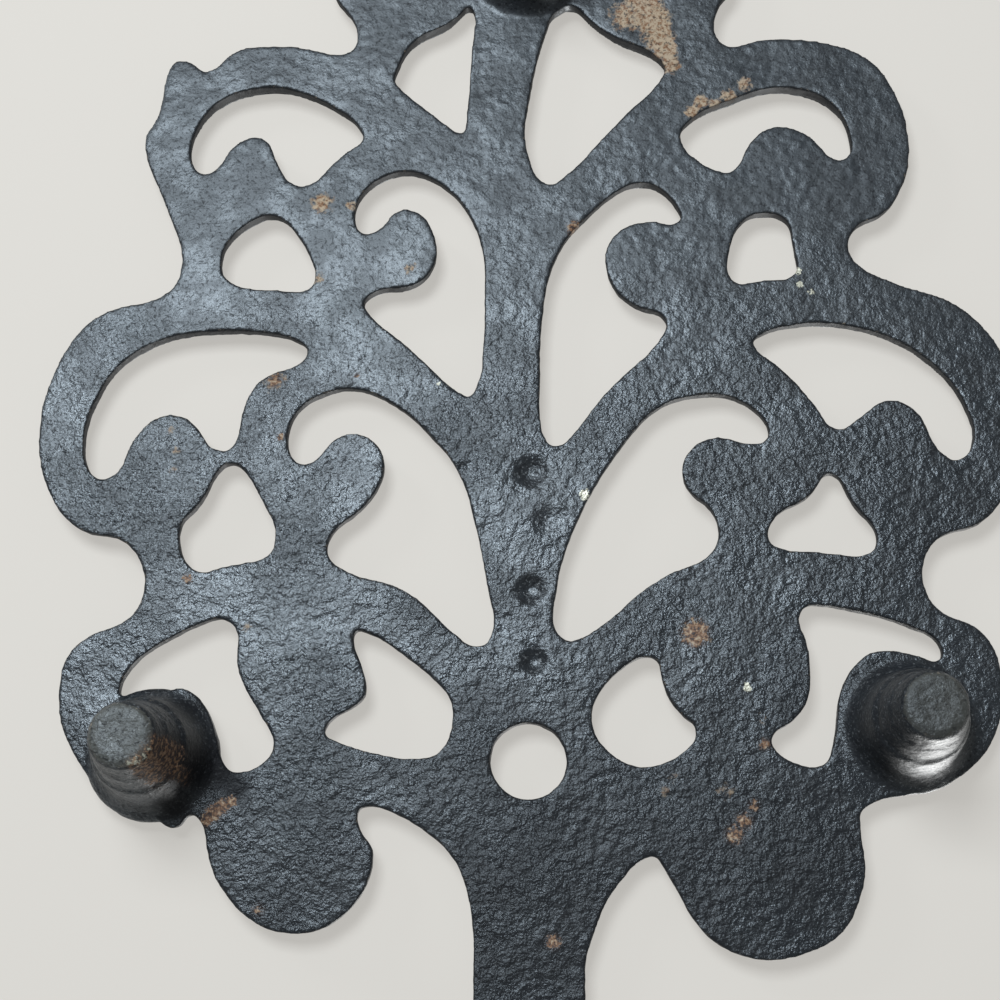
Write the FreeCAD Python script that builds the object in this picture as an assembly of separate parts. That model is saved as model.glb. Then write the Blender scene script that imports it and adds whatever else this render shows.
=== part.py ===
import FreeCAD, Part
import math
import os

# A cast-iron trivet: a tree in openwork, flat on both faces, on three cast feet.
# Millimetres. It stands on its feet, +Z up. +Y runs from the handle to the crown.
# Drawings of the outlines have their origin at the centre of the eye, the round hole
# in the trunk. The finished part has its origin under the middle of its length.

# ---- driving dimensions -------------------------------------------------------
CROWN_WIDTH = 142.0            # across the widest pair of lobes
CROWN_LENGTH = 163.5           # from the foot of the crown to its top
HANDLE_LENGTH = 55.0           # trunk below the crown, to its rounded end
TRUNK_WIDTH = 15.2             # where the trunk leaves the crown
HANDLE_NECK_WIDTH = 13.0
HANDLE_NECK_LENGTH = 10.5
HANDLE_END_WIDTH = 21.0
HANDLE_SWELL_LENGTH = 12.5     # from the end of the neck to the centre of the hanging hole
HANG_HOLE_DIAMETER = 8.0
EYE_DIAMETER = 10.4
PLATE_THICKNESS = 4.0
DRAFT_ANGLE = 4.0              # degrees, so that the pattern leaves the sand upwards
FOOT_HEIGHT = 20.0             # floor to the underside of the plate
FOOT_TIP_RADIUS = 4.4
FOOT_ROOT_RADIUS = 8.0

# ---- the drawn pattern --------------------------------------------------------
# Each outline is a rounded polygon: the curve touches the middle of every side. A
# slight corner has one arc and a straight, a sharp corner has two arcs.
SLIGHT_BEND = 60.0             # degrees
LEAST_STRAIGHT = 0.12          # as a share of half a side
# The crown's rim runs anticlockwise from the right of the trunk to its left.
# The trunk's own sides are added from TRUNK_WIDTH.
CROWN_FOOT = -30.0
TRUNK_FLANK = -27.0
TRUNK_SEAM = 11.3              # from the middle of the trunk to its seam with the boughs
TIER_SEAM = 66.3               # height of the seam between the lower and upper boughs
CROWN_RIM = [
    # right lower lobe, the nub beside its foot, and the lobe that carries the foot
    (7.8, -19.6), (10.0, -13.0), (16.5, -7.8), (23.4, -5.4), (23.4, -9.2), (20.4, -12.4),
    (23.0, -19.6), (29.6, -24.0), (38.0, -22.4), (43.8, -14.9), (44.8, -8.3), (46.7, -6.8),
    (48.0, -9.1), (49.9, -9.2), (51.0, -7.8), (58.1, -4.9), (63.0, 0.0), (66.5, 8.0),
    (65.0, 17.0), (55.6, 20.2),
    # right side arch and upper arch
    (54.0, 26.2), (57.0, 31.8), (65.5, 33.0), (71.0, 42.0), (71.0, 55.0), (64.0, 66.8),
    (52.4, 68.2), (50.8, 75.0), (54.0, 83.0), (58.6, 93.4), (55.6, 97.4), (54.8, 106.8),
    (51.2, 107.2), (48.4, 104.0), (44.6, 109.0), (35.0, 109.4), (26.4, 106.6),
    # three lobes at the top
    (25.4, 112.0), (31.2, 119.4), (29.0, 129.0), (18.5, 130.5), (10.5, 127.0), (7.5, 133.5),
    (-7.5, 133.5), (-10.5, 127.0), (-19.5, 131.5), (-30.0, 129.5), (-33.2, 119.0),
    (-28.4, 114.0), (-29.2, 107.0),
    # left upper arch and side arch
    (-35.5, 109.4), (-42.6, 109.0), (-51.4, 107.0), (-56.5, 99.0), (-57.6, 88.5),
    (-53.5, 80.2), (-47.6, 78.6), (-47.4, 72.6), (-54.0, 69.5), (-64.5, 66.0), (-71.0, 55.0),
    (-71.0, 42.0), (-65.0, 33.0), (-57.5, 31.4),
    # left foot's lobe and lower lobe
    (-55.0, 26.0), (-57.0, 20.6), (-64.5, 18.0), (-66.5, 8.0), (-62.5, -0.5), (-55.0, -4.6),
    (-45.2, -5.8), (-45.4, -10.4), (-45.9, -15.9), (-42.7, -24.1), (-31.8, -27.8),
    (-23.4, -24.2), (-19.0, -15.8), (-16.7, -11.6), (-11.0, -18.2), (-8.7, -23.4),
]

# The openwork, named by the part of the tree that each window opens.
WINDOWS = {
    "top_right": [(7.2, 117.5), (8.5, 106.2), (8.9, 94.2), (10.4, 94.4), (18.6, 101.3),
                  (20.1, 103.2), (17.5, 110.0), (11.0, 112.3)],
    "top_left": [(-5.6, 118.0), (-10.8, 110.8), (-19.4, 107.2), (-21.8, 103.4),
                 (-13.8, 96.0), (-4.6, 85.2), (-1.4, 86.8), (0.4, 93.8), (-1.8, 107.0)],
    "upper_arch_right": [(50.2, 88.2), (46.6, 88.2), (44.2, 93.2), (39.2, 95.0),
                         (37.2, 89.5), (35.2, 86.0), (31.8, 86.2), (28.0, 91.0),
                         (22.6, 94.4), (32.0, 100.6), (38.3, 102.6), (46.4, 100.8),
                         (50.6, 94.6)],
    "upper_arch_left": [(-22.0, 92.6), (-25.6, 97.0), (-37.5, 101.6), (-46.2, 99.4),
                        (-49.2, 91.2), (-46.2, 88.0), (-42.6, 93.4), (-37.6, 95.4),
                        (-33.2, 92.6), (-31.2, 87.0), (-27.6, 87.8)],
    "upper_eye_right": [(45.6, 75.4), (42.2, 79.8), (37.4, 82.0), (33.4, 77.5),
                        (29.9, 69.4), (36.5, 69.4), (44.6, 70.2)],
    "upper_eye_left": [(-29.4, 69.2), (-30.0, 76.0), (-32.2, 80.4), (-38.6, 81.0),
                       (-39.2, 75.0), (-40.2, 70.4), (-34.5, 70.3)],
    "upper_curl_right": [(25.9, 78.4), (25.0, 85.0), (18.5, 89.0), (11.4, 85.6),
                         (6.4, 77.5), (6.2, 64.0), (7.0, 51.8), (11.0, 54.0),
                         (17.0, 60.4), (25.0, 66.6), (22.0, 69.4), (15.6, 69.6),
                         (12.4, 75.0), (15.0, 81.4), (19.4, 82.6), (21.8, 78.2)],
    "upper_curl_left": [(-1.8, 51.5), (-2.2, 65.0), (-4.2, 75.4), (-11.0, 82.6),
                        (-17.0, 86.8), (-22.0, 83.2), (-23.6, 78.4), (-17.5, 80.4),
                        (-11.4, 77.0), (-11.6, 70.4), (-15.5, 66.0), (-21.4, 65.0),
                        (-18.8, 60.2), (-10.5, 52.6), (-5.6, 45.2), (-2.4, 45.4)],
    "side_arch_right": [(32.2, 61.8), (32.2, 57.8), (38.5, 56.6), (41.6, 51.5),
                        (42.0, 45.0), (45.5, 45.0), (48.6, 50.0), (53.6, 50.8),
                        (57.6, 46.4), (58.8, 41.0), (63.6, 40.6), (64.6, 49.0),
                        (60.0, 58.5), (52.5, 62.6), (42.0, 63.4)],
    "side_arch_left": [(-31.8, 60.2), (-35.0, 62.4), (-43.0, 63.8), (-53.6, 61.4),
                       (-61.5, 54.5), (-64.4, 46.5), (-62.0, 42.0), (-58.6, 44.0),
                       (-56.2, 50.4), (-51.6, 52.2), (-47.6, 49.0), (-44.0, 46.4),
                       (-41.0, 52.0), (-37.0, 56.8)],
    "side_eye_right": [(50.6, 33.6), (46.6, 37.0), (44.4, 42.8), (41.2, 43.0),
                       (38.0, 37.0), (35.8, 33.0), (36.6, 28.6), (42.5, 28.2),
                       (48.0, 26.2)],
    "side_eye_left": [(-33.8, 32.4), (-35.8, 35.2), (-40.6, 37.2), (-43.4, 42.6),
                      (-46.2, 36.0), (-49.8, 32.4), (-48.6, 28.4), (-42.0, 29.4),
                      (-34.8, 29.6)],
    "lower_curl_right": [(34.8, 47.8), (32.6, 52.0), (25.6, 54.8), (18.0, 51.2),
                         (9.4, 41.8), (7.0, 31.0), (4.6, 19.0), (6.6, 15.0), (11.0, 18.4),
                         (17.0, 24.6), (28.0, 27.2), (28.8, 32.4), (22.8, 36.2),
                         (19.8, 42.4), (22.4, 47.4), (27.6, 47.6), (30.6, 42.8),
                         (34.0, 43.0)],
    "lower_curl_left": [(-3.6, 21.0), (-5.2, 29.6), (-10.6, 41.2), (-19.0, 51.8),
                        (-28.8, 53.0), (-34.8, 49.0), (-34.4, 44.4), (-26.4, 47.0),
                        (-21.8, 43.4), (-22.4, 38.2), (-26.6, 35.6), (-27.4, 28.8),
                        (-18.5, 26.2), (-11.0, 19.4), (-6.4, 16.2), (-3.8, 18.0)],
    "foot_arch_right": [(57.8, 9.8), (55.4, 14.2), (48.5, 18.6), (40.8, 21.4),
                        (41.2, 13.0), (38.0, 7.2), (34.4, 2.0), (38.4, -1.4),
                        (42.6, -1.2), (43.4, 5.6), (47.2, 10.8), (51.6, 9.8), (55.6, 8.0)],
    "foot_arch_left": [(-37.0, 21.8), (-39.4, 15.6), (-39.2, 8.6), (-36.8, 5.0),
                       (-33.0, 3.4), (-34.6, 0.4), (-40.8, -1.8), (-42.2, 3.0),
                       (-43.0, 10.6), (-48.0, 15.8), (-54.2, 14.6), (-57.8, 13.0),
                       (-57.2, 16.8), (-50.5, 19.6), (-43.5, 21.4)],
    "root_window_right": [(25.6, 18.8), (21.6, 17.8), (14.0, 12.2), (10.2, 8.4),
                          (11.2, 1.2), (16.4, 0.2), (28.6, 3.0), (27.6, 5.8),
                          (22.4, 8.4), (22.6, 12.0)],
    "root_window_left": [(-8.4, 6.6), (-11.2, 11.4), (-17.8, 16.0), (-18.6, 10.4),
                         (-20.6, 6.6), (-24.0, 4.2), (-21.2, 0.8), (-15.8, -1.4),
                         (-10.2, 1.4)],
}

# Where the feet stand on the drawing.
FEET = {
    "foot_right": (52.3, 1.1),
    "foot_left": (-52.5, 4.6),
    "foot_top": (-0.3, 122.4),
}

# ---- values that follow -------------------------------------------------------
PLATE_TOP = FOOT_HEIGHT + PLATE_THICKNESS
DRAFT = PLATE_THICKNESS * math.tan(math.radians(DRAFT_ANGLE))
RIM_X = [x for x, y in CROWN_RIM]
RIM_Y = [y for x, y in CROWN_RIM]
STRETCH_X = CROWN_WIDTH / (max(RIM_X) - min(RIM_X))
STRETCH_Y = CROWN_LENGTH / (max(RIM_Y) - CROWN_FOOT)
CROWN_TOP = max(RIM_Y) * STRETCH_Y
HANDLE_TOP = CROWN_FOOT * STRETCH_Y
HANDLE_END = HANDLE_TOP - HANDLE_LENGTH
MIDDLE = (CROWN_TOP + HANDLE_END) / 2


def drawn(points):
    """The drawn points at the real size of the crown."""
    return [(x * STRETCH_X, y * STRETCH_Y) for x, y in points]


def unit(x, y):
    length = math.hypot(x, y)
    return x / length, y / length


def grown(points, distance, closed):
    """A polygon moved outwards. An open one runs anticlockwise."""
    count = len(points)
    pairs = zip(points, points[1:] + points[:1])
    area = sum(x0 * y1 - x1 * y0 for (x0, y0), (x1, y1) in pairs)
    side = distance if area > 0 else -distance
    moved = []
    for index, (x, y) in enumerate(points):
        before = points[index - 1]
        after = points[(index + 1) % count]
        inward = unit(x - before[0], y - before[1])
        outward = unit(after[0] - x, after[1] - y)
        if not closed and index == 0:
            inward = outward
        if not closed and index == count - 1:
            outward = inward
        shared = 1 + inward[0] * outward[0] + inward[1] * outward[1]
        shift_x = (inward[1] + outward[1]) / shared
        shift_y = -(inward[0] + outward[0]) / shared
        moved.append((x + side * shift_x, y + side * shift_y))
    return moved


def triples(points, closed):
    """The start, corner and end of each bend, from side middle to side middle."""
    middles = [((x0 + x1) / 2, (y0 + y1) / 2)
               for (x0, y0), (x1, y1) in zip(points, points[1:] + points[:1])]
    if closed:
        return list(zip(middles[-1:] + middles, points, middles))
    stops = points[:1] + middles[1:-2] + points[-1:]
    return list(zip(stops, points[1:-1], stops[1:]))


def straight_share(start, corner, end):
    """How much of a bend's longer half stays straight. A sharp bend leaves nothing."""
    back = (start[0] - corner[0], start[1] - corner[1])
    ahead = (end[0] - corner[0], end[1] - corner[1])
    lengths = math.hypot(*back), math.hypot(*ahead)
    cosine = -(back[0] * ahead[0] + back[1] * ahead[1]) / (lengths[0] * lengths[1])
    share = (lengths[0] - lengths[1]) / max(lengths)
    if cosine < math.cos(math.radians(SLIGHT_BEND)) or abs(share) < LEAST_STRAIGHT:
        return 0.0
    return share


def arc(point, corner, joint):
    """An arc that leaves the point towards the corner and ends at the joint."""
    chord = joint - point
    heading = corner - point
    turn = chord.getAngle(heading)
    across = heading - chord * (chord.dot(heading) / chord.dot(chord))
    bulge = across.normalize() * (chord.Length / 2 * math.tan(turn / 2))
    return Part.Arc(point, (point + joint) * 0.5 + bulge, joint).toShape()


def bend(start, corner, end, share):
    """The two edges round a corner, tangent to its sides and to each other.

    They are a straight and an arc, or two arcs that meet at the incentre of the triangle.
    """
    if share > 0:
        leave = start + (corner - start) * share
        return [Part.makeLine(start, leave), arc(end, corner, leave)]
    if share < 0:
        arrive = end + (corner - end) * -share
        return [arc(start, corner, arrive), Part.makeLine(arrive, end)]
    weights = [(end - corner).Length, (end - start).Length, (corner - start).Length]
    joint = (start * weights[0] + corner * weights[1] + end * weights[2]) / sum(weights)
    return [arc(start, corner, joint), arc(end, corner, joint)]


def outline(points, z, grow, closed=True):
    """The smooth edges of a polygon at height z, closed by a line if it is open."""
    shares = [straight_share(*triple) for triple in triples(points, closed)]
    moved = grown(points, grow, closed)
    edges = []
    for triple, share in zip(triples(moved, closed), shares):
        edges += bend(*[FreeCAD.Vector(x, y, z) for x, y in triple], share)
    if not closed:
        edges.append(Part.makeLine(*[FreeCAD.Vector(x, y, z) for x, y in (moved[-1], moved[0])]))
    return edges


def cast_plate(rim, windows, hole):
    """A plate with smooth windows and one round hole, made as a closed shell.

    Each cast wall is drafted, so that the metal narrows towards the top face. The hole
    is straight, as it is drilled.
    """
    sections = [(FOOT_HEIGHT, 0.0), (PLATE_TOP, DRAFT)]
    loops = [[outline(rim, z, -draft, closed=False) for z, draft in sections]]
    for window in windows:
        loops.append([outline(window, z, draft) for z, draft in sections])
    faces = []
    for lower, upper in loops:
        faces += [Part.makeRuledSurface(below, above) for below, above in zip(lower, upper)]
    diameter, x, y = hole
    bore = Part.makeCylinder(diameter / 2, PLATE_THICKNESS, FreeCAD.Vector(x, y, FOOT_HEIGHT))
    faces.append(bore.Faces[0])
    for level, (z, draft) in enumerate(sections):
        wires = [Part.Wire(Part.sortEdges(loop[level])[0]) for loop in loops]
        wires.append(Part.Wire(Part.makeCircle(diameter / 2, FreeCAD.Vector(x, y, z))))
        faces.append(Part.makeFace(wires, "Part::FaceMakerBullseye"))
    shell = Part.Shell(Part.makeCompound(faces).Faces)
    shell.sewShape()
    solid = Part.Solid(shell)
    if solid.Volume < 0:
        solid.reverse()
    return solid


def crown():
    """The whole openwork crown, before it is parted into its limbs."""
    half = TRUNK_WIDTH / 2
    flank = TRUNK_FLANK * STRETCH_Y
    rim = [(half, HANDLE_TOP), (half, flank)]
    rim += drawn(CROWN_RIM)
    rim += [(-half, flank), (-half, HANDLE_TOP)]
    windows = [drawn(points) for points in WINDOWS.values()]
    return cast_plate(rim, windows, (EYE_DIAMETER, 0.0, 0.0))


def handle():
    """The bare trunk below the crown, ending in a rounded eye to hang it by."""
    half = TRUNK_WIDTH / 2
    neck = HANDLE_NECK_WIDTH / 2
    end = HANDLE_END_WIDTH / 2
    octagon = end * math.tan(math.pi / 8)
    eye_centre = HANDLE_END + end
    neck_end = eye_centre + HANDLE_SWELL_LENGTH
    right_side = [
        (half, HANDLE_TOP),
        (half, HANDLE_TOP - half),
        (neck, neck_end + HANDLE_NECK_LENGTH),
        (neck, neck_end),
        (end, eye_centre + octagon),
        (end, eye_centre - octagon),
        (octagon, HANDLE_END),
    ]
    left_side = [(-x, y) for x, y in right_side]
    return cast_plate(left_side + right_side[::-1], [], (HANG_HOLE_DIAMETER, 0.0, eye_centre))


def foot(x, y):
    """A round peg that tapers to a flat tip."""
    return Part.makeCone(FOOT_TIP_RADIUS, FOOT_ROOT_RADIUS, FOOT_HEIGHT, FreeCAD.Vector(x, y, 0))


def zone(x0, x1, y0, y1):
    """A block through the full thickness of the plate, to part the crown with."""
    corner = FreeCAD.Vector(x0, y0, 0)
    return Part.makeBox(x1 - x0, y1 - y0, PLATE_TOP + FOOT_HEIGHT, corner)


def limbs():
    """The crown parted along its trunk and between its tiers of boughs."""
    whole = crown()
    strip = TRUNK_SEAM * STRETCH_X
    seam = TIER_SEAM * STRETCH_Y
    reach = CROWN_WIDTH
    bottom = HANDLE_TOP
    top = CROWN_TOP
    zones = {
        "trunk": zone(-strip, strip, bottom, top),
        "lower_bough_right": zone(strip, reach, bottom, seam),
        "lower_bough_left": zone(-reach, -strip, bottom, seam),
        "upper_bough_right": zone(strip, reach, seam, top),
        "upper_bough_left": zone(-reach, -strip, seam, top),
    }
    return {name: whole.common(block) for name, block in zones.items()}


def main():
    os.makedirs("parts", exist_ok=True)
    nodes = limbs()
    nodes["handle"] = handle()
    for name, (x, y) in FEET.items():
        nodes[name] = foot(x * STRETCH_X, y * STRETCH_Y)
    for name, shape in nodes.items():
        shape.translate(FreeCAD.Vector(0, -MIDDLE, 0))
        shape.exportStep("parts/" + name + ".step")
        print(name, len(shape.Solids), "solid,", round(shape.Volume), "mm3, valid", shape.isValid())


main()
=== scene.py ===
import math

import bmesh
import bpy
import numpy as np
from mathutils import Matrix, Vector


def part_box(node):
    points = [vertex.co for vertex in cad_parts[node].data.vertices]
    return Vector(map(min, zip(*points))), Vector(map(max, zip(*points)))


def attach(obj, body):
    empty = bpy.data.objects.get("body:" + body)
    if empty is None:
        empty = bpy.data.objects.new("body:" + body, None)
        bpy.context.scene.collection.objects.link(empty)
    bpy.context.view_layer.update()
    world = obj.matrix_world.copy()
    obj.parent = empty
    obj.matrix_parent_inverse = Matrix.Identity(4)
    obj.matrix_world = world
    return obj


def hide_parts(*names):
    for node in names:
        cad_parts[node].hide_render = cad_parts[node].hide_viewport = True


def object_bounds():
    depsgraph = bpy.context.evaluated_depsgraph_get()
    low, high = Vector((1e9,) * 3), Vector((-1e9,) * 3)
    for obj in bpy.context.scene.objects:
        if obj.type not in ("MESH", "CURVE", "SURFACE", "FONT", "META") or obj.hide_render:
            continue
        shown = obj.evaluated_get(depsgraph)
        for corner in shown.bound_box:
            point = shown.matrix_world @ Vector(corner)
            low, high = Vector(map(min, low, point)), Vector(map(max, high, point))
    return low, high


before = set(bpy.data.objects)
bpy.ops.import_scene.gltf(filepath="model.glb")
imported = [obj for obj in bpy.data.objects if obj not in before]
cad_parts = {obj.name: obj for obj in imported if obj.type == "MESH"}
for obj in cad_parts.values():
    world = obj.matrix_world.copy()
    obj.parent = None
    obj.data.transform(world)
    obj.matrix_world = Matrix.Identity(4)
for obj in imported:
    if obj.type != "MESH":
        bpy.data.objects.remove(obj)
CAD_LOW, CAD_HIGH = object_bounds()

bl_info = {
    "name": "Openwork iron trivet",
    "version": (1, 0, 0),
    "blender": (4, 5, 0),
    "location": "View3D > Sidebar > Trivet",
    "description": "Casts, paints and stages an openwork iron trivet round its solids",
    "category": "Object",
}

MM = 0.001
X, Y, Z = range(3)

# ---- places read from the frame -----------------------------------------------
FEET = ("foot_right", "foot_left", "foot_top")
PLATE = ("trunk", "handle", "lower_bough_right", "lower_bough_left",
         "upper_bough_right", "upper_bough_left")
PLATE_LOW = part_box("trunk")[0].z
PLATE_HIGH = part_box("trunk")[1].z
TRUNK_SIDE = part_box("trunk")[1].x
TIER_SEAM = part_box("lower_bough_right")[1].y
HANDLE_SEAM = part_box("handle")[1].y
FOOT_SEAM = PLATE_LOW - 0.15 * MM

# A foot's half section as (radius, height) in millimetres, with its turned ridges.
FOOT_SECTION = [
    (0.0, 0.25), (3.3, 0.1), (4.0, 0.35), (4.5, 1.0), (5.15, 5.2), (5.35, 5.6), (5.45, 6.2),
    (6.05, 10.2), (6.5, 10.7), (6.65, 11.4), (7.1, 15.4), (7.5, 17.6), (8.3, 19.2),
    (9.4, 20.4), (9.4, 22.0), (0.0, 22.0),
]
# Heights between which the wear of a foot's tip fades, heights between which a foot passes
# into the plate, and distances from its axis between which the flare of its root runs out.
TIP_WEAR = (0.3 * MM, 1.1 * MM)
FOOT_ROOT = (17.5 * MM, 19.0 * MM)
FOOT_FLARE = (9.0 * MM, 10.5 * MM)

# Marks on the underside: x, y and radius in millimetres, and a strength from 0 to 1.
RUST_SPOTS = [
    (36.7, 31.2, 1.1, 0.8), (35.6, 22.6, 0.6, 0.9), (48.3, 1.8, 0.8, 0.7),
    (-7.2, 54.4, 1.2, 0.9), (-23.4, -6.5, 1.9, 1.0), (-32.6, -22.1, 0.9, 0.7),
    (-3.3, -48.6, 1.1, 0.9), (36.7, -44.3, 1.0, 0.5), (-28.0, -34.4, 1.4, 0.75),
    (-29.4, -32.6, 1.3, 0.7), (-30.8, -30.4, 0.9, 0.6), (24.7, 31.9, 0.4, 0.9),
    (41.0, -29.7, 0.9, 0.9), (42.2, -30.4, 1.1, 1.0), (43.3, -31.2, 1.2, 1.0),
    (44.3, -32.2, 1.0, 0.9), (47.9, -26.0, 1.9, 1.0), (49.6, -27.2, 1.7, 0.9),
    (47.2, -24.2, 1.6, 0.8),
]
STAINS = [
    (30.5, 58.9, 1.9, 0.8), (25.9, 58.5, 1.1, 0.7), (17.2, 48.4, 1.4, 0.5),
    (-18.2, 90.8, 3.2, 1.0), (-19.5, 88.2, 3.0, 1.0), (-20.2, 85.6, 2.6, 1.0),
    (-21.0, 83.2, 2.2, 1.0), (-21.8, 81.0, 1.8, 1.0), (-15.4, 89.0, 3.0, 0.75),
    (-24.9, 73.0, 1.2, 0.9), (-26.4, 74.6, 1.3, 0.9), (-28.4, 74.2, 1.2, 0.8),
    (-30.6, 75.4, 1.5, 0.75), (-33.0, 77.4, 1.5, 0.7), (37.1, 46.2, 1.2, 0.65),
    (34.9, 46.6, 1.4, 0.75), (32.7, 46.8, 1.5, 0.8), (30.8, 47.2, 1.3, 0.6),
    (36.7, 31.2, 2.2, 0.55), (-18.9, -28.3, 1.2, 0.5), (-19.8, -26.4, 1.1, 0.45),
    (-27.0, -28.4, 1.8, 0.45), (22.0, -46.6, 1.8, 0.4), (51.7, 23.8, 0.9, 0.6),
    (50.6, 20.8, 0.8, 0.6), (51.2, 17.8, 0.8, 0.5), (-32.2, -18.6, 1.0, 0.5),
    (39.6, -5.2, 1.0, 0.5), (-23.4, -6.5, 2.6, 0.45),
]
CHIPS = [
    (33.0, 45.9, 0.9, 0.5), (12.9, 30.4, 0.5, 0.6), (-8.2, 13.6, 0.9, 0.9),
    (-30.4, -14.2, 0.7, 0.9), (-39.7, 47.3, 0.7, 0.9), (-40.0, 45.2, 0.6, 0.9),
    (-38.8, 48.7, 0.5, 0.7), (-41.6, 44.0, 0.6, 0.7), (51.0, -26.8, 0.5, 0.6),
    (50.0, -26.5, 0.6, 0.6), (49.1, -25.8, 0.5, 0.6), (48.5, -24.9, 0.4, 0.5),
]
# Painted shade: dark, dull patches low on the underside and round one foot's root, where the plate
# should fall into the lamp's shade.
PAINTED_SHADE_SPOTS = [
    (43.0, -25.0, 5.0, 1.0), (40.8, -27.4, 3.2, 0.9), (46.0, -16.0, 3.0, 0.8),
    (-3.0, -31.5, 6.0, 0.6), (4.0, -30.0, 4.0, 0.5), (-36.0, -38.0, 16.0, 0.5),
    (-44.0, -22.0, 12.0, 0.4), (-14.0, -44.0, 10.0, 0.35), (-4.0, -50.0, 36.0, 0.56),
    (30.0, -40.0, 18.0, 0.40), (-58.0, 8.0, 12.0, 0.25), (48.6, -30.2, 2.6, 0.85),
]
# Round pits in the underside: x, y, radius and depth, in millimetres.
DIMPLES = [
    (-0.6, 17.0, 2.9, 0.80), (-2.9, 9.9, 2.7, 0.35), (-0.5, -0.2, 2.6, 0.85),
    (-0.8, -10.4, 2.3, 0.80), (9.5, 17.7, 1.1, 0.50),
]

# ---- settings -----------------------------------------------------------------
class CastingSettings(bpy.types.PropertyGroup):
    step: bpy.props.FloatProperty(
        name="Surface step", description="Width of the smallest facet of the rough surface",
        default=0.34 * MM, unit="LENGTH", precision=5)
    softening: bpy.props.IntProperty(
        name="Softening", description="Rounds of smoothing that take the pattern's sharp edges off",
        default=6, min=0)
    wave_size: bpy.props.FloatProperty(
        name="Wave size", description="Width of the slow unevenness left by the carved pattern",
        default=7.0 * MM, unit="LENGTH", precision=5)
    wave_depth: bpy.props.FloatProperty(
        name="Wave depth", description="Depth of that slow unevenness",
        default=0.30 * MM, unit="LENGTH", precision=5)
    pebble_size: bpy.props.FloatProperty(
        name="Pebble size", description="Width of the pebbles left by the casting sand",
        default=1.25 * MM, unit="LENGTH", precision=5)
    pebble_depth: bpy.props.FloatProperty(
        name="Pebble depth", description="Depth of the hollows between those pebbles",
        default=0.13 * MM, unit="LENGTH", precision=5)
    top_round: bpy.props.FloatProperty(
        name="Top rounding", description="How far the walls lean in to meet the top face",
        default=0.65 * MM, unit="LENGTH", precision=5)


class PaintSettings(bpy.types.PropertyGroup):
    paint: bpy.props.FloatVectorProperty(
        name="Paint", description="Old black paint",
        default=(0.012, 0.015, 0.019), subtype="COLOR")
    # grime_and_shade is the darker patches of the paint, and the colour of the painted shade on the
    # walls and low on the underside.
    grime_and_shade: bpy.props.FloatVectorProperty(
        name="Grime", description="Darker patches of the paint, and raw iron",
        default=(0.006, 0.007, 0.009), subtype="COLOR")
    dust: bpy.props.FloatVectorProperty(
        name="Dust", description="Pale dust caught in the grain",
        default=(0.33, 0.36, 0.38), subtype="COLOR")
    rust: bpy.props.FloatVectorProperty(
        name="Rust", description="Brown rust where the paint has gone",
        default=(0.16, 0.080, 0.036), subtype="COLOR")
    old_rust: bpy.props.FloatVectorProperty(
        name="Old rust", description="Old dark rust round it",
        default=(0.026, 0.014, 0.010), subtype="COLOR")
    stain: bpy.props.FloatVectorProperty(
        name="Stain", description="Tan bloom on the rust and round it, and worn edges",
        default=(0.34, 0.27, 0.19), subtype="COLOR")
    chip: bpy.props.FloatVectorProperty(
        name="Chips", description="Pale scale where the paint is chipped off",
        default=(0.38, 0.38, 0.31), subtype="COLOR")


class StageSettings(bpy.types.PropertyGroup):
    lens: bpy.props.FloatProperty(
        name="Lens", description="Focal length on a 36 mm wide sensor",
        default=69.1, subtype="DISTANCE_CAMERA")
    eye: bpy.props.FloatVectorProperty(
        name="Eye", description="Where the camera is",
        default=(-4.2 * MM, -56.1 * MM, -245.0 * MM), subtype="TRANSLATION")
    target: bpy.props.FloatVectorProperty(
        name="Target", description="What is in the middle of the picture",
        default=(3.9 * MM, 12.9 * MM, 20.0 * MM), subtype="TRANSLATION")
    board: bpy.props.FloatVectorProperty(
        name="Board", description="Colour of the pale floor, the board behind and all beyond",
        default=(0.715, 0.695, 0.655), subtype="COLOR")
    air: bpy.props.FloatVectorProperty(
        name="Air", description="Colour of the world's even light",
        default=(0.96, 0.98, 1.0), subtype="COLOR")


# ---- the casting --------------------------------------------------------------
# Painted shade on the plate's walls: how much of the dull, dark shader they take, from 0 for paint
# to 1 for all of it.
WALL_PAINTED_SHADE = 0.88


def solid_copy(names):
    """The named solids in one bmesh, their loose triangles merged."""
    body = bmesh.new()
    for name in names:
        body.from_mesh(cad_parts[name].data)
    bmesh.ops.remove_doubles(body, verts=body.verts, dist=0.001 * MM)
    return body


def open_seams(body):
    """Takes out the walls between neighbouring solids, so that they join as one body."""
    seams = [(X, TRUNK_SIDE), (X, -TRUNK_SIDE), (Y, TIER_SEAM), (Y, HANDLE_SEAM)]
    near = 0.01 * MM
    walls = [face for face in body.faces
             if any(all(abs(vert.co[axis] - place) < near for vert in face.verts)
                    for axis, place in seams)]
    bmesh.ops.delete(body, geom=walls, context="FACES")


def foot_centre(node):
    """The point where a foot's axis meets the floor."""
    low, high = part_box(node)
    return Vector(((low.x + high.x) / 2, (low.y + high.y) / 2, low.z))


def turn_foot(body, node):
    """Spins a foot's half section about the axis of its solid."""
    centre = foot_centre(node)
    section = [body.verts.new(centre + Vector((radius * MM, 0, height * MM)))
               for radius, height in FOOT_SECTION]
    edges = [body.edges.new(pair) for pair in zip(section, section[1:])]
    bmesh.ops.spin(body, geom=section + edges, cent=centre, axis=(0, 0, 1), dvec=(0, 0, 0),
                   angle=math.tau, steps=72, use_merge=True, use_duplicate=False)


def mesh_object(name, body):
    """A new object in the scene with the bmesh as its mesh."""
    mesh = bpy.data.meshes.new(name)
    body.to_mesh(mesh)
    body.free()
    piece = bpy.data.objects.new(name, mesh)
    bpy.context.scene.collection.objects.link(piece)
    return piece


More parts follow.
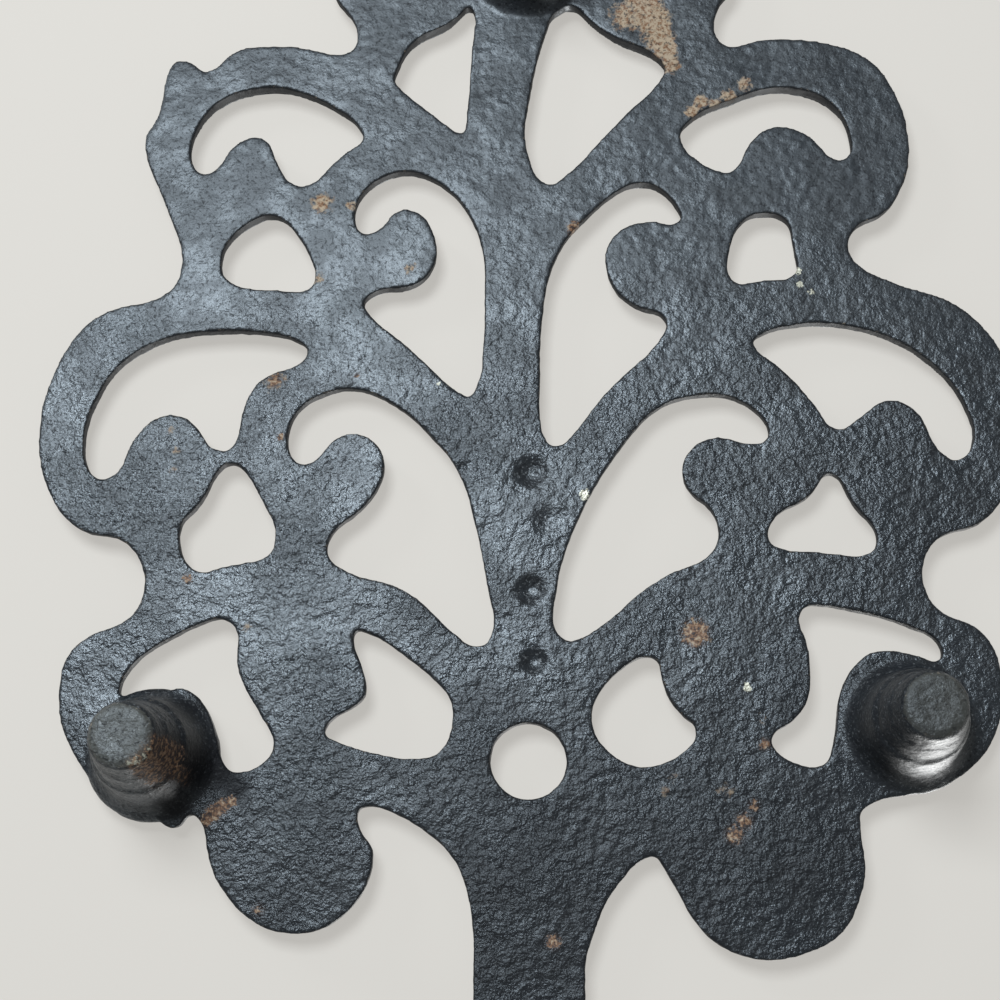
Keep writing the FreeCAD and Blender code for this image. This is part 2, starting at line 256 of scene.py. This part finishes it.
def settle(piece):
    """Makes the piece's modifiers its own mesh."""
    graph = bpy.context.evaluated_depsgraph_get()
    mesh = bpy.data.meshes.new_from_object(piece.evaluated_get(graph))
    piece.modifiers.clear()
    piece.data = mesh


def soften(piece, settings):
    """Draws one even skin round the joined solids and rounds its edges."""
    skin = piece.modifiers.new("skin", "REMESH")
    skin.mode = "VOXEL"
    skin.voxel_size = settings.step
    skin.use_smooth_shade = True
    rounding = piece.modifiers.new("rounding", "SMOOTH")
    rounding.factor = 0.5
    rounding.iterations = settings.softening
    settle(piece)


def relief(piece, name, size, depth, **look):
    """Presses a cloudy pattern into the surface. It goes inwards more than outwards."""
    texture = bpy.data.textures.new(name, "CLOUDS")
    texture.noise_scale = size
    for key, value in look.items():
        setattr(texture, key, value)
    press = piece.modifiers.new(name, "DISPLACE")
    press.texture = texture
    press.texture_coords = "LOCAL"
    press.mid_level = 0.65
    press.strength = depth


def roughen(piece, settings):
    """Gives the skin the waves of a carved pattern and the pebbles of casting sand."""
    relief(piece, "waves", settings.wave_size, settings.wave_depth, noise_depth=1)
    relief(piece, "pebbles", settings.pebble_size, settings.pebble_depth,
           noise_depth=2, contrast=1.4)
    settle(piece)


def read_vectors(items, key):
    """A vector of every item, such as its place or its normal, one to a row."""
    values = np.empty(len(items) * 3, np.float32)
    items.foreach_get(key, values)
    return values.reshape(-1, 3)


def store(mesh, name, values):
    """Keeps one number for each vertex, for the materials to read by name."""
    layer = mesh.attributes.new(name, "FLOAT", "POINT")
    layer.data.foreach_set("value", values.astype(np.float32))


def move_to(mesh, places):
    """Puts every vertex in its new place."""
    mesh.vertices.foreach_set("co", places.astype(np.float32).ravel())
    mesh.update()


def step_up(values, low, high):
    """A smooth step from 0 at low to 1 at high."""
    share = np.clip((values - low) / (high - low), 0, 1)
    return share * share * (3 - 2 * share)


def away_from(places, x, y):
    """How far each place is from the upright line through x and y."""
    return np.hypot(places[:, X] - x, places[:, Y] - y)


def spots(places, marks):
    """The strongest of the round marks at each place, fading from its middle."""
    strongest = np.zeros(len(places), np.float32)
    for x, y, radius, strength in marks:
        away = away_from(places, x * MM, y * MM) / (radius * MM)
        strongest = np.maximum(strongest, strength * (1 - step_up(away, 0.2, 1.6)))
    return strongest


def near_feet(places):
    """1 on the feet and the flares of their roots, and 0 away from them."""
    near = np.zeros(len(places), np.float32)
    for node in FEET:
        centre = foot_centre(node)
        away = away_from(places, centre.x, centre.y)
        near = np.maximum(near, 1 - step_up(away, *FOOT_FLARE))
    return near


def mark_wear_and_shade(piece):
    """Stores where edges and tips are worn, and where rust, stains and chips sit.

    The dull mask is painted shade: it darkens and dulls the walls of the plate and patches low on
    its underside and round a foot's root. Flatness is 1 on level faces and 0 on walls.
    """
    mesh = piece.data
    places = read_vectors(mesh.vertices, "co")
    height = places[:, Z]
    flatness = np.abs(read_vectors(mesh.vertex_normals, "vector")[:, Z])
    below = 1 - step_up(height, PLATE_LOW + 0.5 * MM, PLATE_HIGH - 0.5 * MM)
    foot = near_feet(places)
    root = foot * step_up(height, *FOOT_ROOT) * below
    edge = step_up(flatness, 0.35, 0.6) * (1 - step_up(flatness, 0.75, 0.97))
    store(mesh, "edge", edge * (1 - root))
    store(mesh, "tip", 1 - step_up(height, *TIP_WEAR))
    for name, marks in (("rust", RUST_SPOTS), ("stain", STAINS), ("bare", CHIPS)):
        store(mesh, name, spots(places, marks) * below)
    plate = (1 - foot) * (height > PLATE_LOW - 0.3 * MM)
    # Painted shade: the plate's walls and the shade patches below are marked to be dark and dull.
    wall = (1 - step_up(flatness, 0.45, 0.9)) * np.maximum(plate, 1 - below)
    shade_patches = spots(places, PAINTED_SHADE_SPOTS) * below
    store(mesh, "dull", np.maximum(WALL_PAINTED_SHADE * wall, shade_patches))


def press_dimples(piece):
    """Presses the round pits of the casting into the underside of the trunk."""
    mesh = piece.data
    places = read_vectors(mesh.vertices, "co")
    under = places[:, Z] < PLATE_LOW + 1.0 * MM
    pitted = np.zeros(len(places))
    for x, y, radius, depth in DIMPLES:
        away = away_from(places, x * MM, y * MM) / (radius * MM)
        bowl = 1 - step_up(away, 0.1, 1.05)
        places[:, Z] += under * bowl * depth * MM
        pitted = np.maximum(pitted, under * bowl)
    store(mesh, "dimple", pitted)
    move_to(mesh, places)


def round_top(piece, settings):
    """Leans the walls in towards the top face, where the pattern was rounded."""
    mesh = piece.data
    places = read_vectors(mesh.vertices, "co")
    outward = read_vectors(mesh.vertex_normals, "vector")
    lean = settings.top_round * step_up(places[:, Z], PLATE_HIGH - 2.2 * MM, PLATE_HIGH)
    places[:, [X, Y]] -= outward[:, [X, Y]] * lean[:, np.newaxis]
    move_to(mesh, places)


def keep_inside(piece):
    """Holds the rough skin within the box of the solids."""
    mesh = piece.data
    places = read_vectors(mesh.vertices, "co")
    margin = 0.01 * MM
    move_to(mesh, np.clip(places, np.array(CAD_LOW) + margin, np.array(CAD_HIGH) - margin))


def cut_across(body, axis, place):
    """Cuts a body across an axis and closes both sides. Gives the low side, then the high."""
    point = Vector((0, 0, 0))
    point[axis] = place
    across = Vector((0, 0, 0))
    across[axis] = 1
    sides = []
    for keep_high in (False, True):
        side = body.copy()
        cut = bmesh.ops.bisect_plane(
            side, geom=side.verts[:] + side.edges[:] + side.faces[:], dist=0.001 * MM,
            plane_co=point, plane_no=across, clear_inner=keep_high, clear_outer=not keep_high)
        rim = [item for item in cut["geom_cut"] if isinstance(item, bmesh.types.BMEdge)]
        cap = bmesh.ops.holes_fill(side, edges=rim, sides=0)["faces"]
        for edge in rim:
            edge.smooth = False
        for face in cap:
            face.smooth = False
        sides.append(side)
    body.free()
    return sides


def parted_casting(whole):
    """The casting cut into the same pieces as its solids, by name."""
    pieces = {}
    feet, plate = cut_across(whole, Z, FOOT_SEAM)
    pieces["foot_left"], rest = cut_across(feet, X, -TRUNK_SIDE)
    pieces["foot_top"], pieces["foot_right"] = cut_across(rest, X, TRUNK_SIDE)
    pieces["handle"], crown = cut_across(plate, Y, HANDLE_SEAM)
    left, rest = cut_across(crown, X, -TRUNK_SIDE)
    pieces["trunk"], right = cut_across(rest, X, TRUNK_SIDE)
    pieces["lower_bough_left"], pieces["upper_bough_left"] = cut_across(left, Y, TIER_SEAM)
    pieces["lower_bough_right"], pieces["upper_bough_right"] = cut_across(right, Y, TIER_SEAM)
    return pieces


class TRIVET_OT_casting(bpy.types.Operator):
    """Cast the tree, its handle and its feet as one rough body, and part it as the solids are"""
    bl_idname = "trivet.casting"
    bl_label = "Cast the trivet"

    def execute(self, context):
        settings = context.scene.trivet_casting
        body = solid_copy(PLATE)
        open_seams(body)
        for node in FEET:
            turn_foot(body, node)
        bmesh.ops.remove_doubles(body, verts=body.verts, dist=0.001 * MM)
        bmesh.ops.recalc_face_normals(body, faces=body.faces)
        casting = mesh_object("rough_casting", body)
        soften(casting, settings)
        mark_wear_and_shade(casting)
        round_top(casting, settings)
        roughen(casting, settings)
        press_dimples(casting)
        keep_inside(casting)
        whole = bmesh.new()
        whole.from_mesh(casting.data)
        bpy.data.objects.remove(casting)
        for node, cut in parted_casting(whole).items():
            if not cut.faces:
                raise RuntimeError("no metal was left for " + node)
            piece = mesh_object("cast_" + node, cut)
            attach(piece, "root")
            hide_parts(node)
        return {"FINISHED"}


# ---- the finish ---------------------------------------------------------------
# Shine of the paint, which is a little cool, and of the dull, dark shader, which paints shade on
# the walls and low on the underside.
SHINE_TINT = (0.80, 0.91, 1.0, 1.0)
SHINE_LEVEL = 0.65
DULL_SHINE_LEVEL = 0.15
# Roughness of the paint in its darker and its plain patches, of the dull, dark shader of the
# painted shade, and what the filled grain and the rust and stains add to the paint's.
GRIME_ROUGHNESS = 0.34
PAINT_ROUGHNESS = 0.25
DULL_ROUGHNESS = 0.7
FILLED_ROUGHNESS = 0.14
RUST_ROUGHNESS = 0.4
# Depth of the bump for the finest grain, which is finer than the pebbles of the mesh.
GRAIN_DEPTH = 0.22 * MM
# How much of each layer shows, from 0 to 1.
# The pale specks in the dimples are partly dust and partly painted glints.
DIMPLE_DUST_AND_GLINT = 0.75
DULL_DUST = 0.08
WORN_SHOW = 0.45
HALO_SHOW = 0.75
TIP_SHOW = 0.10
PIT_SHOW = 0.6
CHIP_METAL = 0.3


def add(tree, kind, **values):
    """A node with its properties set by name, and its inputs by in_ and their name."""
    node = tree.nodes.new("ShaderNode" + kind)
    for key, value in values.items():
        if key.startswith("in_"):
            node.inputs[key[3:].replace("_", " ")].default_value = value
        else:
            setattr(node, key, value)
    return node


def noise(tree, place, scale, detail, roughness):
    """Cloudy noise round 0.5, with the scale in features per metre."""
    node = add(tree, "TexNoise", in_Scale=scale, in_Detail=detail, in_Roughness=roughness)
    tree.links.new(place, node.inputs["Vector"])
    return node.outputs["Fac"]


def ramp(tree, value, low, high, to_low=0.0, to_high=1.0):
    """A value stretched from one range to another, smoothly."""
    node = add(tree, "MapRange", interpolation_type="SMOOTHSTEP")
    for socket, number in zip(("From Min", "From Max", "To Min", "To Max"),
                              (low, high, to_low, to_high)):
        node.inputs[socket].default_value = number
    tree.links.new(value, node.inputs["Value"])
    return node.outputs["Result"]


def calc(tree, operation, first, second, clamp=False):
    """What a Math node makes of two values, each a socket or a plain number."""
    node = add(tree, "Math", operation=operation, use_clamp=clamp)
    for socket, value in zip(node.inputs, (first, second)):
        if isinstance(value, bpy.types.NodeSocket):
            tree.links.new(value, socket)
        else:
            socket.default_value = value
    return node.outputs[0]


def blend(tree, share, low, high):
    """A mix of two colours, each a socket or a plain colour."""
    node = add(tree, "Mix", data_type="RGBA")
    tree.links.new(share, node.inputs["Factor"])
    for name, colour in (("A", low), ("B", high)):
        socket = next(s for s in node.inputs if s.name == name and s.type == "RGBA")
        if isinstance(colour, bpy.types.NodeSocket):
            tree.links.new(colour, socket)
        else:
            socket.default_value = (*colour, 1.0)
    return next(s for s in node.outputs if s.type == "RGBA")


def mix_shaders(tree, share, first, second, output):
    """Joins two shaders to the output: the first where the share is 0, the second at 1."""
    choice = add(tree, "MixShader")
    tree.links.new(share, choice.inputs["Fac"])
    tree.links.new(first.outputs[0], choice.inputs[1])
    tree.links.new(second.outputs[0], choice.inputs[2])
    tree.links.new(choice.outputs[0], tree.nodes[output].inputs["Surface"])


def new_material(name):
    """A material with its node tree and the main shader in it."""
    material = bpy.data.materials.new(name)
    material.use_nodes = True
    return material, material.node_tree, material.node_tree.nodes["Principled BSDF"]


def new_group(name, numbers, outputs):
    """A node group that takes a place and the numbers named. Gives it, its input and output."""
    tree = bpy.data.node_groups.new(name, "ShaderNodeTree")
    tree.interface.new_socket(name="Place", in_out="INPUT", socket_type="NodeSocketVector")
    for label in numbers:
        tree.interface.new_socket(name=label, in_out="INPUT", socket_type="NodeSocketFloat")
    for label in outputs:
        tree.interface.new_socket(name=label, in_out="OUTPUT", socket_type="NodeSocketFloat")
    return tree, tree.nodes.new("NodeGroupInput"), tree.nodes.new("NodeGroupOutput")


def use_group(tree, group, **values):
    """Places a node group, with its inputs by name as sockets or plain numbers."""
    node = tree.nodes.new("ShaderNodeGroup")
    node.node_tree = group
    for key, value in values.items():
        if isinstance(value, bpy.types.NodeSocket):
            tree.links.new(value, node.inputs[key])
        else:
            node.inputs[key].default_value = value
    return node.outputs


def sand_grain_group():
    """Fine grain of a sand casting under paint, crisp low on the tree and filled at its top.

    Height is the grain itself, Specks the dust it catches, Pits its dull hollows, Mottle the
    slow change of the paint, and Fill how far the paint has filled the grain.
    """
    labels = ("Height", "Specks", "Pits", "Mottle", "Fill")
    tree, given, result = new_group("sand_grain", (), labels)
    place = given.outputs["Place"]
    coarse = noise(tree, place, scale=1300.0, detail=1.0, roughness=0.5)
    fine = noise(tree, place, scale=2900.0, detail=2.0, roughness=0.6)
    peel = add(tree, "TexVoronoi", feature="SMOOTH_F1", in_Scale=850.0, in_Smoothness=0.7)
    tree.links.new(place, peel.inputs["Vector"])
    grain = calc(tree, "ADD", calc(tree, "MULTIPLY", coarse, 0.40),
                 calc(tree, "MULTIPLY", fine, 0.45))
    grain = calc(tree, "SUBTRACT", grain, calc(tree, "MULTIPLY", peel.outputs["Distance"], 0.45))
    along = add(tree, "SeparateXYZ")
    tree.links.new(place, along.inputs[0])
    fill = ramp(tree, along.outputs["Y"], 15.0 * MM, 65.0 * MM)
    left_open = ramp(tree, fill, 0.0, 1.0, to_low=1.25, to_high=0.45)
    patchy = noise(tree, place, scale=60.0, detail=1.0, roughness=0.5)
    crispness = ramp(tree, patchy, 0.35, 0.65, to_low=0.75, to_high=1.3)
    height = calc(tree, "MULTIPLY", grain, calc(tree, "MULTIPLY", crispness, left_open))
    specks = ramp(tree, noise(tree, place, scale=2100.0, detail=3.0, roughness=0.7), 0.54, 0.74)
    specks = calc(tree, "MULTIPLY", specks, left_open, clamp=True)
    pits = ramp(tree, noise(tree, place, scale=2000.0, detail=2.0, roughness=0.6), 0.46, 0.34)
    mottle = ramp(tree, noise(tree, place, scale=210.0, detail=3.0, roughness=0.6), 0.36, 0.64)
    for label, value in zip(labels, (height, specks, pits, mottle, fill)):
        tree.links.new(value, result.inputs[label])
    return tree


def ragged_group():
    """Breaks a soft mask into ragged patches."""
    tree, given, result = new_group("ragged_patch", ("Mask", "Scale"), ("Patch",))
    soft = given.outputs["Mask"]
    grain = add(tree, "TexNoise", in_Detail=4.0, in_Roughness=0.65)
    tree.links.new(given.outputs["Place"], grain.inputs["Vector"])
    tree.links.new(given.outputs["Scale"], grain.inputs["Scale"])
    broken = calc(tree, "MULTIPLY", calc(tree, "SUBTRACT", grain.outputs["Fac"], 0.5), 1.9)
    broken = calc(tree, "ADD", soft, broken)
    patch = calc(tree, "MULTIPLY", ramp(tree, broken, 0.38, 0.62), ramp(tree, soft, 0.02, 0.15))
    tree.links.new(patch, result.inputs["Patch"])
    return tree


def mask(tree, name):
    """One of the numbers that the mesh keeps for each vertex."""
    return add(tree, "Attribute", attribute_name=name).outputs["Fac"]


def ragged(tree, patch_group, place, name, scale, strength=1.0):
    """Ragged patches where the mesh is marked with that name."""
    soft = calc(tree, "MULTIPLY", mask(tree, name), strength)
    return use_group(tree, patch_group, Place=place, Mask=soft, Scale=scale)["Patch"]


def stain_patches(tree, place):
    """Patches of stain, broken more softly than the ragged ones."""
    soft = mask(tree, "stain")
    broken = noise(tree, place, scale=1000.0, detail=4.0, roughness=0.65)
    broken = calc(tree, "MULTIPLY", calc(tree, "SUBTRACT", broken, 0.5), 1.6)
    broken = calc(tree, "ADD", soft, broken)
    return calc(tree, "MULTIPLY", ramp(tree, broken, 0.35, 0.75), ramp(tree, soft, 0.02, 0.3))


def rust_colour(tree, colours, flakes, rust_bloom):
    """Old dark rust, brown rust and its tan bloom, by flakes. With less bloom fewer are brown."""
    fewer = 0.08 * (1 - rust_bloom)
    brown = ramp(tree, flakes, 0.40 + fewer, 0.52 + fewer)
    bloom = calc(tree, "MULTIPLY", ramp(tree, flakes, 0.50, 0.66), rust_bloom)
    return blend(tree, bloom, blend(tree, brown, colours.old_rust, colours.rust), colours.stain)


def dull_iron_and_shade(tree, colours, specks, bump):
    """A dull, dark shader with a little dust on it: painted shade on the walls and low on the
    underside, and the pits of the grain.
    """
    shader = add(tree, "BsdfPrincipled", in_Roughness=DULL_ROUGHNESS,
                 in_Specular_IOR_Level=DULL_SHINE_LEVEL)
    pale_specks = calc(tree, "MULTIPLY", specks, DULL_DUST)
    tree.links.new(blend(tree, pale_specks, colours.grime_and_shade, colours.dust), shader.inputs["Base Color"])
    tree.links.new(bump.outputs["Normal"], shader.inputs["Normal"])
    return shader


def iron_paint(name, colours, grain_group, patch_group, dustiness, wear, dullness, rust_bloom):
    """Old satin black paint on sand-cast iron, worn, chipped, stained and rusted.

    The walls, the patches low on the underside and the pits of the grain are dull and dark instead;
    on the walls and patches this is painted shade.
    """
    material, tree, shader = new_material(name)
    shader.inputs["Specular Tint"].default_value = SHINE_TINT
    shader.inputs["Specular IOR Level"].default_value = SHINE_LEVEL
    place = add(tree, "TexCoord").outputs["Object"]
    grain = use_group(tree, grain_group, Place=place)
    flakes = noise(tree, place, scale=1700.0, detail=3.0, roughness=0.65)
    worn = ragged(tree, patch_group, place, "edge", 1500.0, wear)
    bare = ragged(tree, patch_group, place, "bare", 2600.0)
    tip = ragged(tree, patch_group, place, "tip", 700.0)
    rust = ragged(tree, patch_group, place, "rust", 1500.0)
    stain = stain_patches(tree, place)

    # Pale specks of dust in the grain; in the dimples they are also painted glints.
    pale_specks = calc(tree, "MULTIPLY", mask(tree, "dimple"), DIMPLE_DUST_AND_GLINT)
    pale_specks = calc(tree, "MULTIPLY", grain["Specks"], calc(tree, "ADD", pale_specks, dustiness))
    halo = calc(tree, "MULTIPLY", ramp(tree, mask(tree, "rust"), 0.0, 0.5), HALO_SHOW)
    chipped = calc(tree, "MAXIMUM", bare, calc(tree, "MULTIPLY", tip, TIP_SHOW))
    stain_colour = blend(tree, ramp(tree, flakes, 0.36, 0.58), colours.rust, colours.stain)
    colour = blend(tree, grain["Mottle"], colours.grime_and_shade, colours.paint)
    for share, layer in (
            (pale_specks, colours.dust),
            (calc(tree, "MULTIPLY", worn, WORN_SHOW), colours.stain),
            (stain, stain_colour),
            (halo, colours.old_rust),
            (rust, rust_colour(tree, colours, flakes, rust_bloom)),
            (chipped, colours.chip)):
        colour = blend(tree, share, colour, layer)
    tree.links.new(colour, shader.inputs["Base Color"])
    tree.links.new(calc(tree, "MULTIPLY", chipped, CHIP_METAL), shader.inputs["Metallic"])

    roughness = ramp(tree, grain["Mottle"], 0.0, 1.0, to_low=GRIME_ROUGHNESS + dullness,
                     to_high=PAINT_ROUGHNESS + dullness)
    for share, more in ((grain["Fill"], FILLED_ROUGHNESS),
                        (calc(tree, "MAXIMUM", rust, stain), RUST_ROUGHNESS)):
        roughness = calc(tree, "ADD", roughness, calc(tree, "MULTIPLY", share, more), clamp=True)
    tree.links.new(roughness, shader.inputs["Roughness"])
    bump = add(tree, "Bump", in_Strength=1.0, in_Distance=GRAIN_DEPTH)
    tree.links.new(grain["Height"], bump.inputs["Height"])
    tree.links.new(bump.outputs["Normal"], shader.inputs["Normal"])

    # Painted shade: the walls and the patches marked dull get the dull, dark shader, and so do the
    # grain's pits.
    dull_share = calc(tree, "MAXIMUM", mask(tree, "dull"), calc(tree, "MULTIPLY", grain["Pits"], PIT_SHOW))
    uncovered = calc(tree, "SUBTRACT", 1.0, calc(tree, "MAXIMUM", rust, bare))
    mix_shaders(tree, calc(tree, "MULTIPLY", dull_share, uncovered), shader,
                dull_iron_and_shade(tree, colours, grain["Specks"], bump), "Material Output")
    return material


class TRIVET_OT_paint(bpy.types.Operator):
    """Paint the casting black, and wear, chip and rust it"""
    bl_idname = "trivet.paint"
    bl_label = "Paint and age it"

    def execute(self, context):
        colours = context.scene.trivet_paint
        groups = (sand_grain_group(), ragged_group())
        plate_paint = iron_paint("plate_black_paint", colours, *groups,
                                 dustiness=0.17, wear=0.35, dullness=0.0, rust_bloom=1.0)
        foot_paint = iron_paint("foot_black_paint", colours, *groups,
                                dustiness=0.30, wear=0.25, dullness=0.20, rust_bloom=0.35)
        for node in PLATE + FEET:
            piece = bpy.data.objects["cast_" + node]
            piece.data.materials.clear()
            piece.data.materials.append(foot_paint if node in FEET else plate_paint)
        return {"FINISHED"}


# ---- the stage ----------------------------------------------------------------
# The strength of the air's light, and how bright the pale surroundings are where only the
# paint's shine meets them.
AIR_STRENGTH = 0.22
SURROUNDINGS_IN_SHINE = 0.40


def one_sided_board(name, colour, height, upwards, glow, lit):
    """A pale board that is seen only from the side it faces, and throws no shadow.

    The glow is the share of its colour that shadows leave alone, and lit is the share
    that the lamps and their shadows make.
    """
    sheet = bmesh.new()
    bmesh.ops.create_grid(sheet, x_segments=1, y_segments=1, size=6.0)
    if not upwards:
        bmesh.ops.reverse_faces(sheet, faces=sheet.faces)
    bmesh.ops.translate(sheet, verts=sheet.verts, vec=(0, 0, height))
    board = mesh_object(name, sheet)
    material, tree, shader = new_material(name)
    shader.inputs["Base Color"].default_value = (*(tone * lit for tone in colour), 1.0)
    shader.inputs["Emission Color"].default_value = (*colour, 1.0)
    shader.inputs["Emission Strength"].default_value = glow
    shader.inputs["Roughness"].default_value = 0.9
    shader.inputs["Specular IOR Level"].default_value = 0.0
    facing_away = add(tree, "NewGeometry").outputs["Backfacing"]
    mix_shaders(tree, facing_away, shader, add(tree, "BsdfTransparent"), "Material Output")
    board.data.materials.append(material)
    # Only a board that faces down lights the iron and shows in its shine.
    board.visible_diffuse = not upwards
    board.visible_glossy = not upwards
    board.visible_transmission = False
    board.visible_shadow = False


def aim(thing, place, target):
    """Turns a thing that looks along its -Z towards the target, with +Y up."""
    back = (place - target).normalized()
    right = Vector((0, 1, 0)).cross(back).normalized()
    turn = Matrix((right, back.cross(right), back)).transposed().to_4x4()
    thing.matrix_world = Matrix.Translation(place) @ turn


def softbox(name, place, width, watts, colour):
    """A square lamp that lights the middle of the plate."""
    lamp = bpy.data.lights.new(name, "AREA")
    lamp.shape = "SQUARE"
    lamp.size = width
    lamp.energy = watts
    lamp.color = colour
    holder = bpy.data.objects.new(name, lamp)
    bpy.context.scene.collection.objects.link(holder)
    aim(holder, Vector(place), Vector((0, 0, PLATE_LOW)))


def set_camera(scene, settings):
    camera = bpy.data.cameras.new("camera")
    camera.lens = settings.lens
    camera.sensor_width = 36.0
    camera.clip_start = 0.01
    holder = bpy.data.objects.new("camera", camera)
    scene.collection.objects.link(holder)
    aim(holder, Vector(settings.eye), Vector(settings.target))
    scene.camera = holder


def set_air(scene, settings):
    """Even light all round. The camera and the paint's shine meet the board's colour instead."""
    world = bpy.data.worlds.new("air")
    world.use_nodes = True
    tree = world.node_tree
    light = tree.nodes["Background"]
    light.inputs["Color"].default_value = (*settings.air, 1.0)
    light.inputs["Strength"].default_value = AIR_STRENGTH
    rays = add(tree, "LightPath").outputs
    surroundings = add(tree, "Background", in_Color=(*settings.board, 1.0))
    tree.links.new(ramp(tree, rays["Is Camera Ray"], 0.0, 1.0, to_low=SURROUNDINGS_IN_SHINE),
                   surroundings.inputs["Strength"])
    shine = calc(tree, "MAXIMUM", rays["Is Glossy Ray"], rays["Is Transmission Ray"])
    seen = calc(tree, "MAXIMUM", rays["Is Camera Ray"], shine)
    mix_shaders(tree, seen, light, surroundings, "World Output")
    scene.world = world


class TRIVET_OT_stage(bpy.types.Operator):
    """Set the camera, the pale boards, the lamps and the even light of the air"""
    bl_idname = "trivet.stage"
    bl_label = "Set the stage"

    def execute(self, context):
        scene = context.scene
        settings = scene.trivet_stage
        set_camera(scene, settings)
        one_sided_board("floor", settings.board, CAD_LOW.z, upwards=True, glow=0.56, lit=0.40)
        one_sided_board("back_board", settings.board, CAD_HIGH.z + 0.25 * MM, upwards=False,
                        glow=0.67, lit=0.28)
        softbox("key_below", (0.13, 0.20, -0.50), width=0.22, watts=3.55,
                colour=(0.93, 0.97, 1.0))
        softbox("glint_below", (0.62, 0.50, -0.33), width=0.16, watts=1.3,
                colour=(0.95, 0.98, 1.0))
        softbox("key_above", (-0.24, -0.34, 0.62), width=0.30, watts=5.0,
                colour=(1.0, 0.99, 0.97))
        set_air(scene, settings)
        scene.view_settings.view_transform = "Standard"
        return {"FINISHED"}


class TRIVET_PT_panel(bpy.types.Panel):
    """The trivet's pieces and sizes"""
    bl_label = "Trivet"
    bl_idname = "TRIVET_PT_panel"
    bl_space_type = "VIEW_3D"
    bl_region_type = "UI"
    bl_category = "Trivet"

    def draw(self, context):
        for group in (context.scene.trivet_casting, context.scene.trivet_paint,
                      context.scene.trivet_stage):
            box = self.layout.box()
            for key in group.__annotations__:
                box.prop(group, key)
        for operator in OPERATORS:
            self.layout.operator(operator.bl_idname)


OPERATORS = (TRIVET_OT_casting, TRIVET_OT_paint, TRIVET_OT_stage)
SETTINGS = {
    "trivet_casting": CastingSettings,
    "trivet_paint": PaintSettings,
    "trivet_stage": StageSettings,
}
CLASSES = (*SETTINGS.values(), *OPERATORS, TRIVET_PT_panel)


def register():
    for item in CLASSES:
        bpy.utils.register_class(item)
    for name, group in SETTINGS.items():
        setattr(bpy.types.Scene, name, bpy.props.PointerProperty(type=group))


def unregister():
    for name in SETTINGS:
        delattr(bpy.types.Scene, name)
    for item in reversed(CLASSES):
        bpy.utils.unregister_class(item)


def main():
    register()
    bpy.ops.trivet.casting()
    bpy.ops.trivet.paint()
    bpy.ops.trivet.stage()


if __name__ == "__main__":
    main()
